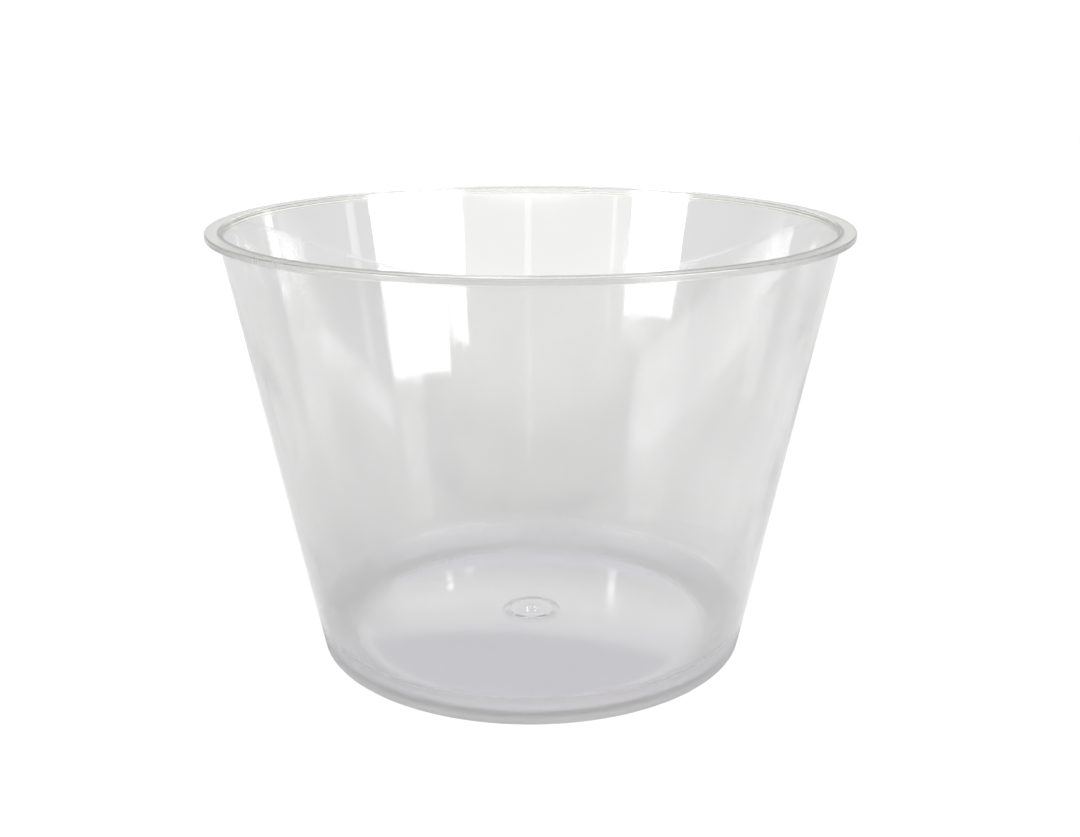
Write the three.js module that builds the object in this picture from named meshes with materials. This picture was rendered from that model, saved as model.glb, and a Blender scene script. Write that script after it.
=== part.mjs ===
// Plant pot liner: a clear plastic pot that stands inside a decorative outer pot and keeps it dry.
// It is one injection moulding: a tapered wall with a flat lip round its mouth, a solid heel with a wide
// inside radius, and a domed floor, so that the pot stands on a ring and its moulding gate clears the table.
import * as THREE from "three";

// Driving dimensions, in millimetres. +Z is up and the origin is the centre of the standing face.

// Envelope
const HEIGHT = 102.5;
const RIM_DIAMETER = 149;
const BASE_DIAMETER = 104.6; // the wall's outer face, extended down to the table
const WALL = 1; // measured square to the wall
const FLOOR = 1.1; // measured upright

// Lip round the mouth
const LIP_OVERHANG = 2.7; // past the wall's outer face
const LIP_THICKNESS = 1.5;
const LIP_EDGE_RADIUS = 0.3;
const LIP_ROOT_RADIUS = 0.3; // under the lip, where it meets the wall

// Foot ring and the heel above it
const FOOT_RING_WIDTH = 2.9; // the flat that the pot stands on
const FOOT_EDGE_RADIUS = 0.5; // outer corner that the pot tips over
const HEEL_RADIUS = 7; // inside, between the wall and the floor

// Domed floor, hollow below
const HOLLOW_RISE = 0.9; // underside of the floor's edge above the table
const HOLLOW_SLOPE_RUN = 2.6; // the slope from that edge down to the foot ring
const HOLLOW_EDGE_RADIUS = 2; // rounding at both ends of that slope
const DOME_DIAMETER = 84; // outside it the floor is level
const DOME_RISE = 2; // the floor's middle above its edge

// Gate in the middle of the floor
const GATE_DISC_DIAMETER = 14.5;
const GATE_DISC_RISE = 0.4; // the disc stands up inside and is hollow below
const GATE_DISC_SLOPE_RUN = 1.6;
const GATE_STUB_DIAMETER = 2.4;
const GATE_STUB_LENGTH = 0.7; // left where the sprue was cut off
const GATE_STUB_RADIUS = 0.5; // rounding of the stub's end

// Facets
const FACETS_ROUND = 72;
const ARC_STEP = THREE.MathUtils.degToRad(24);
const DOME_STEPS = 5;

// The wall's outer face is a straight line in the profile: its radius at a height.
const wallLean = (RIM_DIAMETER / 2 - LIP_OVERHANG - BASE_DIAMETER / 2) / HEIGHT;
const outerRadius = (z) => BASE_DIAMETER / 2 + wallLean * z;
const innerRadius = (z) => outerRadius(z) - WALL * Math.hypot(1, wallLean);

// The dome is a shallow parabola: its top face's height at a radius.
const domeRadius = DOME_DIAMETER / 2;
const floorEdge = HOLLOW_RISE + FLOOR;
const domeTop = (r) => floorEdge + DOME_RISE * (1 - (r / domeRadius) ** 2);

// The gate disc sits on the dome.
const discRadius = GATE_DISC_DIAMETER / 2;
const discTop = domeTop(discRadius) + GATE_DISC_RISE;

// Radii at which the dome has its points, from the gate disc's edge to the dome's own edge.
const domeRadii = Array.from({ length: DOME_STEPS + 1 }, (_, k) =>
  THREE.MathUtils.lerp(discRadius, domeRadius, k / DOME_STEPS),
);

// Turns corners [radius, height, rounding] into profile points, with an arc at each rounded corner.
// Two arcs that want more than the edge between them share that edge.
function roundedProfile(corners) {
  const at = corners.map(([r, z]) => new THREE.Vector2(r, z));
  const toward = (i, j) => at[j].clone().sub(at[i]);
  const halfAngle = (i) => Math.abs(toward(i, i - 1).angleTo(toward(i, i + 1))) / 2;
  const wanted = corners.map(([, , rounding = 0], i) => rounding && rounding / Math.tan(halfAngle(i)));
  const share = (i, j) => Math.min(1, toward(i, j).length() / (wanted[i] + wanted[j]));
  return corners.flatMap((_, i) => {
    if (wanted[i] === 0) return [at[i]];
    const tangent = wanted[i] * Math.min(share(i, i - 1), share(i, i + 1));
    const half = halfAngle(i);
    const back = toward(i, i - 1).normalize();
    const middle = toward(i, i + 1).normalize().add(back).normalize();
    const centre = at[i].clone().addScaledVector(middle, tangent / Math.cos(half));
    const start = at[i].clone().addScaledVector(back, tangent).sub(centre);
    const turn = Math.sign(-start.cross(middle)) * (Math.PI - 2 * half);
    const steps = Math.max(2, Math.ceil(Math.abs(turn) / ARC_STEP));
    return Array.from({ length: steps + 1 }, (_, k) =>
      start.clone().rotateAround(new THREE.Vector2(), (turn * k) / steps).add(centre),
    );
  });
}

// Underside, from the axis out to the foot: gate stub, hollow of the gate disc, hollow of the dome, slope.
function undersideCorners() {
  const stubRadius = GATE_STUB_DIAMETER / 2;
  const discUnderside = discTop - FLOOR;
  const ringRadius = BASE_DIAMETER / 2 - FOOT_RING_WIDTH;
  return [
    [0, discUnderside - GATE_STUB_LENGTH],
    [stubRadius, discUnderside - GATE_STUB_LENGTH, GATE_STUB_RADIUS],
    [stubRadius, discUnderside],
    [discRadius - GATE_DISC_SLOPE_RUN, discUnderside],
    ...domeRadii.map((r) => [r, domeTop(r) - FLOOR]),
    [ringRadius - HOLLOW_SLOPE_RUN, HOLLOW_RISE, HOLLOW_EDGE_RADIUS],
    [ringRadius, 0, HOLLOW_EDGE_RADIUS],
  ];
}

// Outside, from the foot up the wall and round the lip.
function outsideCorners() {
  const lipUnderside = HEIGHT - LIP_THICKNESS;
  return [
    [outerRadius(0), 0, FOOT_EDGE_RADIUS],
    [outerRadius(lipUnderside), lipUnderside, LIP_ROOT_RADIUS],
    [RIM_DIAMETER / 2, lipUnderside, LIP_EDGE_RADIUS],
    [RIM_DIAMETER / 2, HEIGHT, LIP_EDGE_RADIUS],
  ];
}

// Inside, from the mouth down the wall, round the heel and over the dome to the axis.
function insideCorners() {
  return [
    [innerRadius(HEIGHT), HEIGHT, LIP_EDGE_RADIUS],
    [innerRadius(floorEdge), floorEdge, HEEL_RADIUS],
    ...domeRadii.toReversed().map((r) => [r, domeTop(r)]),
    [discRadius - GATE_DISC_SLOPE_RUN, discTop],
    [0, discTop],
  ];
}

// Clear polystyrene with a faint smoke-grey cast.
const clearPlastic = new THREE.MeshStandardMaterial({
  color: 0xdfe1e4,
  roughness: 0.08,
  metalness: 0,
  transparent: true,
  opacity: 0.3,
});

// The whole moulding is one turned solid.
function potLiner() {
  const profile = roundedProfile([...undersideCorners(), ...outsideCorners(), ...insideCorners()]);
  const liner = new THREE.Mesh(new THREE.LatheGeometry(profile, FACETS_ROUND), clearPlastic);
  liner.name = "pot_liner";
  liner.rotation.x = Math.PI / 2; // a lathe turns about Y, and the pot stands along Z
  return liner;
}

const potLinerPart = new THREE.Group();
potLinerPart.add(potLiner());

export default potLinerPart;
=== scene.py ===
import math

import bpy
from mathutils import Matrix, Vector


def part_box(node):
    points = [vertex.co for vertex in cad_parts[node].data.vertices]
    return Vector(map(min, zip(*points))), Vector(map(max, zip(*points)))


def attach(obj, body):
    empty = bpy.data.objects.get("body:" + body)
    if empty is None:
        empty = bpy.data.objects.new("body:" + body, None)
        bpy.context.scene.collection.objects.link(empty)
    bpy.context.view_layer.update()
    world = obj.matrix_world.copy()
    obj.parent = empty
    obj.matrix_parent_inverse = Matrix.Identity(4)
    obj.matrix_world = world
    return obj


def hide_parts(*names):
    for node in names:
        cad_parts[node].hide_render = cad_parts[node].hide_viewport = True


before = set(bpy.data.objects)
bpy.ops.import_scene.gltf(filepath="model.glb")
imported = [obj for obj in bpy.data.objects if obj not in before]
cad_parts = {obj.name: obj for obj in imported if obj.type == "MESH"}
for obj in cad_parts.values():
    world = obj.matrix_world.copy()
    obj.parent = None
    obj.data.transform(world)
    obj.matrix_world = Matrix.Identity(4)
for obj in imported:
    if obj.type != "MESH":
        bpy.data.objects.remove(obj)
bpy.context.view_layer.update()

# Camera
# It looks slightly down into the pot from the front, as a person at a table would,
# from four rim radii away, so that the mouth shows as a flat ellipse and the floor shows through the wall.
mm = 0.001
image_width = 1080
focal_pixels = 1296
sensor_width = 36
camera_distance = 304.5 * mm
camera_height = 144.7 * mm
camera_sideways = 2.1 * mm
camera_pitch = math.radians(16.53)

bpy.ops.object.select_all(action="DESELECT")
bpy.ops.object.camera_add(
    location=(camera_sideways, -camera_distance, camera_height),
    rotation=(math.pi / 2 - camera_pitch, 0, 0),
)
camera = bpy.context.object
camera.name = "camera"
camera.data.sensor_fit = "HORIZONTAL"
camera.data.sensor_width = sensor_width
camera.data.lens = sensor_width * focal_pixels / image_width
camera.data.clip_start = 0.01
camera.data.clip_end = 50
bpy.context.scene.camera = camera

# Pot liner
# The whole pot is one thin injection moulding in clear polystyrene: wall, lip, foot ring, heel and domed
# floor. It is the same all round, so its profile is drawn once, rounded and spun round its axis.
_, liner_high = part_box("pot_liner")
rim_radius = liner_high.x
height = liner_high.z
base_radius = 52.3 * mm
wall = 1.0 * mm
floor = 1.1 * mm
lip_overhang = 2.7 * mm
lip_thickness = 1.5 * mm
lip_edge = 0.3 * mm
foot_ring = 2.9 * mm
foot_edge = 0.5 * mm
heel = 7 * mm
floor_edge = 2 * mm
hollow_slope = 2.6 * mm
hollow_edge = 2 * mm
dome_radius = 42 * mm
dome_rise = 2 * mm
dome_edge = 20 * mm
dome_steps = 12
gate_disc_radius = 7.25 * mm
gate_disc_rise = 0.4 * mm
gate_disc_slope = 1.6 * mm
gate_disc_edge = 0.3 * mm
gate_stub_radius = 1.2 * mm
gate_stub_length = 0.7 * mm
gate_stub_edge = 0.5 * mm

wall_lean = (rim_radius - lip_overhang - base_radius) / height
wall_across = wall * math.hypot(1, wall_lean)
lip_under = height - lip_thickness
ring_radius = base_radius - foot_ring


def outer_radius(z):
    return base_radius + wall_lean * z


def inner_radius(z):
    return outer_radius(z) - wall_across


def dome(r):
    return floor_edge + dome_rise * (1 - (r / dome_radius) ** 2)


# Each corner is its distance from the axis, its height and its rounding, from the gate stub below the
# floor, out over the foot, up the wall, round the lip and back down the inside to the axis.
disc_top = dome(gate_disc_radius) + gate_disc_rise
disc_under = disc_top - floor
dome_width = dome_radius - gate_disc_radius
dome_radii = [gate_disc_radius + dome_width * step / dome_steps for step in range(1, dome_steps)]
corners = [
    (0, disc_under - gate_stub_length, 0),
    (gate_stub_radius, disc_under - gate_stub_length, gate_stub_edge),
    (gate_stub_radius, disc_under, gate_disc_edge),
    (gate_disc_radius - gate_disc_slope, disc_under, gate_disc_edge),
    (gate_disc_radius, dome(gate_disc_radius) - floor, gate_disc_edge),
    *[(r, dome(r) - floor, 0) for r in dome_radii],
    (dome_radius, floor_edge - floor, dome_edge),
    (ring_radius - hollow_slope, floor_edge - floor, hollow_edge),
    (ring_radius, 0, hollow_edge),
    (outer_radius(0), 0, foot_edge),
    (outer_radius(lip_under), lip_under, lip_edge),
    (rim_radius, lip_under, lip_edge),
    (rim_radius, height, lip_edge),
    (inner_radius(height), height, lip_edge),
    (inner_radius(floor_edge), floor_edge, heel),
    (dome_radius, floor_edge, dome_edge),
    *[(r, dome(r), 0) for r in reversed(dome_radii)],
    (gate_disc_radius, dome(gate_disc_radius), gate_disc_edge),
    (gate_disc_radius - gate_disc_slope, disc_top, gate_disc_edge),
    (0, disc_top, 0),
]

bpy.ops.object.select_all(action="DESELECT")
bpy.ops.mesh.primitive_plane_add(size=mm, location=(0, 0, 0))
liner = bpy.context.object
liner.name = "liner_shell"
bpy.ops.object.mode_set(mode="EDIT")
bpy.ops.mesh.merge(type="CENTER")
bpy.ops.transform.translate(value=(corners[0][0], 0, corners[0][1]))
for before, after in zip(corners, corners[1:]):
    step = (after[0] - before[0], 0, after[1] - before[1])
    bpy.ops.mesh.extrude_vertices_move(TRANSFORM_OT_translate={"value": step})

# The mould's corners are rounded, so that the plastic flows and lets go. Wide arcs take more segments.
small_arc_segments = 6
wide_arc_segments = 12
bpy.ops.mesh.select_mode(type="VERT")
for before, corner, after in zip(corners, corners[1:], corners[2:]):
    rounding = corner[2]
    if rounding == 0:
        continue
    back = math.atan2(before[1] - corner[1], before[0] - corner[0])
    ahead = math.atan2(after[1] - corner[1], after[0] - corner[0])
    half_angle = abs(math.remainder(ahead - back, 2 * math.pi)) / 2
    segments = wide_arc_segments if rounding >= heel else small_arc_segments
    bpy.ops.mesh.select_all(action="DESELECT")
    bpy.ops.object.mode_set(mode="OBJECT")
    nearest = min(liner.data.vertices, key=lambda v: math.hypot(v.co.x - corner[0], v.co.z - corner[1]))
    nearest.select = True
    bpy.ops.object.mode_set(mode="EDIT")
    bpy.ops.mesh.bevel(offset=rounding / math.tan(half_angle), segments=segments, affect="VERTICES")

# After the spin its first and last steps are merged, and so are the points on the axis.
spin_steps = 288
merge_distance = 0.002 * mm
sharpest_smooth_angle = math.radians(40)
bpy.ops.mesh.select_all(action="SELECT")
bpy.ops.mesh.spin(steps=spin_steps, angle=2 * math.pi, center=(0, 0, 0), axis=(0, 0, 1))
bpy.ops.mesh.select_all(action="SELECT")
bpy.ops.mesh.remove_doubles(threshold=merge_distance)
bpy.ops.mesh.normals_make_consistent(inside=False)
bpy.ops.object.mode_set(mode="OBJECT")
bpy.ops.object.shade_smooth_by_angle(angle=sharpest_smooth_angle)
even = liner.modifiers.new("even_normals", "WEIGHTED_NORMAL")
even.mode = "FACE_AREA"
even.keep_sharp = True
bpy.ops.object.modifier_apply(modifier=even.name)


# A node's input is set to a value, or linked where it is given another node's output.
def set_inputs(tree, node, inputs):
    for name, value in inputs.items():
        if isinstance(value, bpy.types.NodeSocket):
            tree.links.new(value, node.inputs[name])
        else:
            node.inputs[name].default_value = value


def add_node(tree, kind, inputs, **settings):
    node = tree.nodes.new(kind)
    for name, setting in settings.items():
        setattr(node, name, setting)
    set_inputs(tree, node, inputs)
    return node


def math_node(tree, operation, *values):
    return add_node(tree, "ShaderNodeMath", dict(enumerate(values)), operation=operation).outputs["Value"]


def vector_node(tree, operation, *values):
    return add_node(tree, "ShaderNodeVectorMath", dict(enumerate(values)), operation=operation).outputs


def smooth_step(tree, value, start, end, low=0, high=1):
    inputs = {"Value": value, "From Min": start, "From Max": end, "To Min": low, "To Max": high}
    return add_node(tree, "ShaderNodeMapRange", inputs, interpolation_type="SMOOTHSTEP").outputs["Result"]


def colour_mix(tree, factor, first, second):
    inputs = {"Factor": factor, "A": first, "B": second}
    return add_node(tree, "ShaderNodeMix", inputs, data_type="RGBA").outputs["Result"]


def noise(tree, place, scale, detail):
    inputs = {"Vector": place, "Scale": scale, "Detail": detail}
    return add_node(tree, "ShaderNodeTexNoise", inputs).outputs["Fac"]


polystyrene_ior = 1.59
plastic = bpy.data.materials.new("clear_polystyrene")
plastic.use_nodes = True
tree = plastic.node_tree
shader = tree.nodes["Principled BSDF"]
set_inputs(tree, shader, {"IOR": polystyrene_ior, "Transmission Weight": 1})
place = tree.nodes.new("ShaderNodeTexCoord").outputs["Object"]
axes = add_node(tree, "ShaderNodeSeparateXYZ", {"Vector": place}).outputs
level = axes["Z"]
from_axis = add_node(tree, "ShaderNodeCombineXYZ", {"X": axes["X"], "Y": axes["Y"]}).outputs["Vector"]
radius = vector_node(tree, "LENGTH", from_axis)["Value"]

# The wall's colour is grey as painted shade, for the grey surroundings and shade seen through the clear
# plastic. The floor, faintly lilac, is painted lighter than the wall, and the heel ring lighter still, as
# painted light against the shade under the pot. Thick plastic takes a little more light away.
wall_painted_shade = (0.868, 0.868, 0.868, 1)
dome_lilac_painted_light = (0.952, 0.938, 1, 1)
ring_lilac_painted_light = (0.985, 0.97, 1, 1)
black = (0, 0, 0, 1)
haze_density = 8
ring_inside = dome_radius - 2 * mm
ring_outside = dome_radius + 7 * mm
wall_foot = 4 * mm
wall_clear_of_heel = 10 * mm
in_ring = smooth_step(tree, radius, start=ring_inside, end=ring_outside)
on_wall = smooth_step(tree, level, start=wall_foot, end=wall_clear_of_heel)
# Over the heel the painted light of the floor gives way to the painted shade of the wall.
floor_painted_light = colour_mix(tree, in_ring, dome_lilac_painted_light, ring_lilac_painted_light)
painted_shade_tint = colour_mix(tree, on_wall, floor_painted_light, wall_painted_shade)
set_inputs(tree, shader, {"Base Color": painted_shade_tint})
haze = add_node(tree, "ShaderNodeVolumeAbsorption", {"Color": black, "Density": haze_density})
set_inputs(tree, tree.nodes["Material Output"], {"Volume": haze.outputs["Volume"]})

# The melt ran out from the gate and up the wall, and it set in slow waves, with fine lines up the wall.
# The lines go by the direction from the axis and hardly by the height, so they run upright.
height_share = (0, 0, 0.4)
line_depth = 0.007 * mm
lines_at_full_depth = 35 * mm
waves_to_lines = 9
heading = vector_node(tree, "NORMALIZE", from_axis)["Vector"]
upright = vector_node(tree, "MULTIPLY_ADD", place, height_share, heading)["Vector"]
up_the_wall = smooth_step(tree, level, start=wall_clear_of_heel, end=lines_at_full_depth)
lines = math_node(tree, "MULTIPLY", noise(tree, upright, scale=40, detail=3), up_the_wall)
waves = noise(tree, place, scale=25, detail=1)
relief = math_node(tree, "MULTIPLY_ADD", waves, waves_to_lines, lines)
bump = add_node(tree, "ShaderNodeBump", {"Distance": line_depth, "Height": relief})
set_inputs(tree, shader, {"Normal": bump.outputs["Normal"]})

# The heel is softly matt from the mould. Handling dulls the lip and smudges the wall, and stacking one
# pot in another leaves fine upright scratches. Full wear is as matt as the heel.
polished = 0.03
matt = 0.5
wear_below_lip = 1 * mm
lip_most = 0.2
smudge_most = 0.3
scratch_most = 0.16
heel_ring = math_node(tree, "MULTIPLY", in_ring, math_node(tree, "SUBTRACT", 1, on_wall))
lip_wear = smooth_step(tree, level, start=lip_under - wear_below_lip, end=lip_under, high=lip_most)
blotches = noise(tree, place, scale=34, detail=6)
smudges = smooth_step(tree, blotches, start=0.5, end=0.72, high=smudge_most)
streaks = noise(tree, upright, scale=230, detail=2)
scratches = smooth_step(tree, streaks, start=0.64, end=0.71, high=scratch_most)
handling = math_node(tree, "MULTIPLY", math_node(tree, "ADD", smudges, scratches), on_wall)
wear = math_node(tree, "ADD", math_node(tree, "MAXIMUM", heel_ring, lip_wear), handling)
roughness = math_node(tree, "MULTIPLY_ADD", wear, matt - polished, polished)
set_inputs(tree, shader, {"Roughness": roughness})
liner.data.materials.append(plastic)

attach(liner, "root")
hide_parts("pot_liner")

# Floor and backdrop
# A white sheet lies under the pot and sweeps up behind it. It is white to the camera and a little greyer
# in the plastic, which would otherwise vanish against it. Close to the pot at the right it has a painted
# pool of light, where light through the pot would fall.
sheet_half_width = 3
sheet_front = -3
sheet_back = 2
sheet_top = 0.57
sheet_bend = 0.4
sheet_bend_segments = 24
sheet_below_foot = 0.1 * mm
scattered = (0.15, 0.15, 0.15, 1)
white = 0.86
white_in_plastic = 0.66
painted_pool_strength = 0.11

bpy.ops.object.select_all(action="DESELECT")
bpy.ops.mesh.primitive_plane_add(size=1, location=(0, 0, 0))
sheet = bpy.context.object
sheet.name = "white_sheet"
sheet.scale = (2 * sheet_half_width, sheet_back - sheet_front, 1)
sheet.location = (0, (sheet_back + sheet_front) / 2, -sheet_below_foot)
bpy.ops.object.transform_apply(location=True, scale=True)
bpy.ops.object.mode_set(mode="EDIT")
bpy.ops.mesh.select_mode(type="EDGE")
bpy.ops.mesh.select_all(action="DESELECT")
bpy.ops.object.mode_set(mode="OBJECT")
for edge in sheet.data.edges:
    edge.select = all(sheet.data.vertices[i].co.y > sheet_back - mm for i in edge.vertices)
bpy.ops.object.mode_set(mode="EDIT")
bpy.ops.mesh.extrude_edges_move(TRANSFORM_OT_translate={"value": (0, 0, sheet_top)})
bpy.ops.mesh.select_all(action="DESELECT")
bpy.ops.object.mode_set(mode="OBJECT")
for edge in sheet.data.edges:
    ends = [sheet.data.vertices[i].co for i in edge.vertices]
    edge.select = all(end.y > sheet_back - mm and end.z < mm for end in ends)
bpy.ops.object.mode_set(mode="EDIT")
bpy.ops.mesh.bevel(offset=sheet_bend, segments=sheet_bend_segments, affect="EDGES")
bpy.ops.object.mode_set(mode="OBJECT")
bpy.ops.object.shade_smooth()

paper = bpy.data.materials.new("white_paper")
paper.use_nodes = True
tree = paper.node_tree
tree.nodes.remove(tree.nodes["Principled BSDF"])
matte = add_node(tree, "ShaderNodeBsdfDiffuse", {"Color": scattered})
rays = tree.nodes.new("ShaderNodeLightPath").outputs
by_way_of_plastic = math_node(tree, "MAXIMUM", rays["Is Glossy Ray"], rays["Is Transmission Ray"])
place = tree.nodes.new("ShaderNodeTexCoord").outputs["Object"]
axes = add_node(tree, "ShaderNodeSeparateXYZ", {"Vector": place}).outputs
# A painted pool of light lies on the sheet right of the foot, close to the pot, and shows only in the
# plastic.
painted_pool_across = smooth_step(tree, axes["X"], start=35 * mm, end=75 * mm, high=painted_pool_strength)
painted_pool_near_pot = smooth_step(tree, axes["Y"], start=190 * mm, end=80 * mm)
lightness_with_painted_pool = math_node(tree, "MULTIPLY_ADD", painted_pool_across, painted_pool_near_pot, white_in_plastic)
in_plastic = math_node(tree, "MULTIPLY", by_way_of_plastic, lightness_with_painted_pool)
strength = math_node(tree, "MULTIPLY_ADD", rays["Is Camera Ray"], white, in_plastic)
glow = add_node(tree, "ShaderNodeEmission", {"Strength": strength})
both = add_node(tree, "ShaderNodeAddShader", {0: matte.outputs["BSDF"], 1: glow.outputs["Emission"]})
set_inputs(tree, tree.nodes["Material Output"], {"Surface": both.outputs["Shader"]})
sheet.data.materials.append(paper)

# Studio light
# Soft boxes and slim strips stand round the pot, in a room that is brightest behind the camera, with a dark
# line low down there and a dark band high up opposite. Past the sheet the camera itself sees plain white.
lamp_distance = 2.5
lamp_aim_height = 60 * mm


def soft_box(name, azimuths, elevations, radiance, roll=0):
    turn = math.radians(sum(azimuths) / 2)
    rise = math.radians(sum(elevations) / 2)
    stand = (
        lamp_distance * math.cos(rise) * math.sin(turn),
        -lamp_distance * math.cos(rise) * math.cos(turn),
        lamp_aim_height + lamp_distance * math.sin(rise),
    )
    bpy.ops.object.light_add(type="AREA", location=stand, rotation=(math.pi / 2 - rise, 0, turn))
    lamp = bpy.context.object
    lamp.name = name
    lamp.rotation_euler.rotate_axis("Z", math.radians(roll))
    lamp.data.shape = "RECTANGLE"
    lamp.data.size = 2 * lamp_distance * math.tan(math.radians(azimuths[1] - azimuths[0]) / 2)
    lamp.data.size_y = 2 * lamp_distance * math.tan(math.radians(elevations[1] - elevations[0]) / 2)
    lamp.data.energy = radiance * lamp.data.size * lamp.data.size_y * math.pi
    lamp.visible_camera = False
    return lamp


# A lamp reaches from one azimuth to another, counted from the camera's side round to the right, and from
# one elevation to another, all in degrees. Its radiance follows, and its roll where it hangs askew.
soft_box("soft_box_right", (41.5, 73), (5, 31), 9, -5)
soft_box("soft_box_right_slim", (31, 40), (8, 31), 6)
soft_box("soft_box_left", (-70, -45), (8, 32), 9, 5)
soft_box("soft_box_back", (173.5, 186.5), (8, 30.5), 3.2).visible_transmission = False
soft_box("middle_strip", (0.5, 3), (2.5, 17), 0.8)
soft_box("side_strip_right", (81, 85), (3, 16), 1.2)
soft_box("side_strip_left", (-37.5, -36), (6, 16), 1)
soft_box("back_strip_right", (128, 133), (0.5, 7), 2.5)
soft_box("upper_strip_right", (39.5, 43), (32, 37.5), 28)
soft_box("upper_strip_right_outer", (53.5, 57), (32.5, 40), 16)
soft_box("upper_strip_left", (-56, -52), (30, 44), 14)
soft_box("low_strip_right", (75, 112), (0.5, 2.5), 2.2)
soft_box("low_strip_left", (-118, -52), (0.5, 6.5), 1.2)

brightest = 6
rise_to_right = 0.15
front_cast = (1, 1.005, 0.965)
behind_cast = (1.03, 1.05, 0.92)
plain_white = (1 / brightest, 1 / brightest, 1 / brightest, 1)
room = bpy.data.worlds.new("grey_room")
bpy.context.scene.world = room
room.use_nodes = True
tree = room.node_tree
way = tree.nodes.new("ShaderNodeTexCoord").outputs["Generated"]
axes = add_node(tree, "ShaderNodeSeparateXYZ", {"Vector": way}).outputs


def brightness_by_height(tree, sine, stops, cast=(1, 1, 1)):
    ramp = add_node(tree, "ShaderNodeValToRGB", {"Fac": sine})
    elements = ramp.color_ramp.elements
    while len(elements) < len(stops):
        elements.new(1)
    for element, (position, brightness) in zip(elements, stops):
        element.position = position
        element.color = [brightness / brightest * part for part in cast] + [1]
    return ramp.outputs["Color"]


# Each stop is the sine of an elevation and the brightness there. Behind the pot the bands rise to the right.
front = brightness_by_height(tree, axes["Z"], [
    (0, 1), (0.003, 0.9), (0.006, 0), (0.019, 0), (0.032, 0.8), (0.07, 0.85), (0.105, 2.2), (0.14, 2.9),
    (0.18, 2.8), (0.21, 2.4), (0.245, 2.5), (0.262, 5.5), (0.285, 5), (0.31, 1), (0.7, 0.8), (1, 0.8),
], front_cast)
sides = brightness_by_height(tree, axes["Z"], [
    (0, 1.4), (0.03, 1.5), (0.07, 1.3), (0.12, 0.7), (0.2, 0.9), (0.35, 0.8), (1, 0.8),
])
leaning = math_node(tree, "MULTIPLY_ADD", axes["X"], -rise_to_right, axes["Z"])
behind = brightness_by_height(tree, leaning, [
    (0, 0.8), (0.26, 0.8), (0.4, 1.55), (0.48, 1.2), (0.505, 0.4), (0.62, 0.4), (0.7, 0.9), (1, 0.9),
], behind_cast)
around = colour_mix(tree, smooth_step(tree, axes["Y"], start=0.5, end=0.75), sides, behind)
all_round = colour_mix(tree, smooth_step(tree, axes["Y"], start=-0.4, end=-0.8), around, front)
rays = tree.nodes.new("ShaderNodeLightPath").outputs
to_camera = colour_mix(tree, rays["Is Camera Ray"], all_round, plain_white)
set_inputs(tree, tree.nodes["Background"], {"Strength": brightest, "Color": to_camera})

bpy.context.scene.view_settings.view_transform = "Standard"

# Light runs a long way round inside the lip and the foot before it comes out again.
bounces = 256
bpy.context.scene.cycles.max_bounces = bounces
bpy.context.scene.cycles.transmission_bounces = bounces
bpy.context.scene.cycles.glossy_bounces = bounces
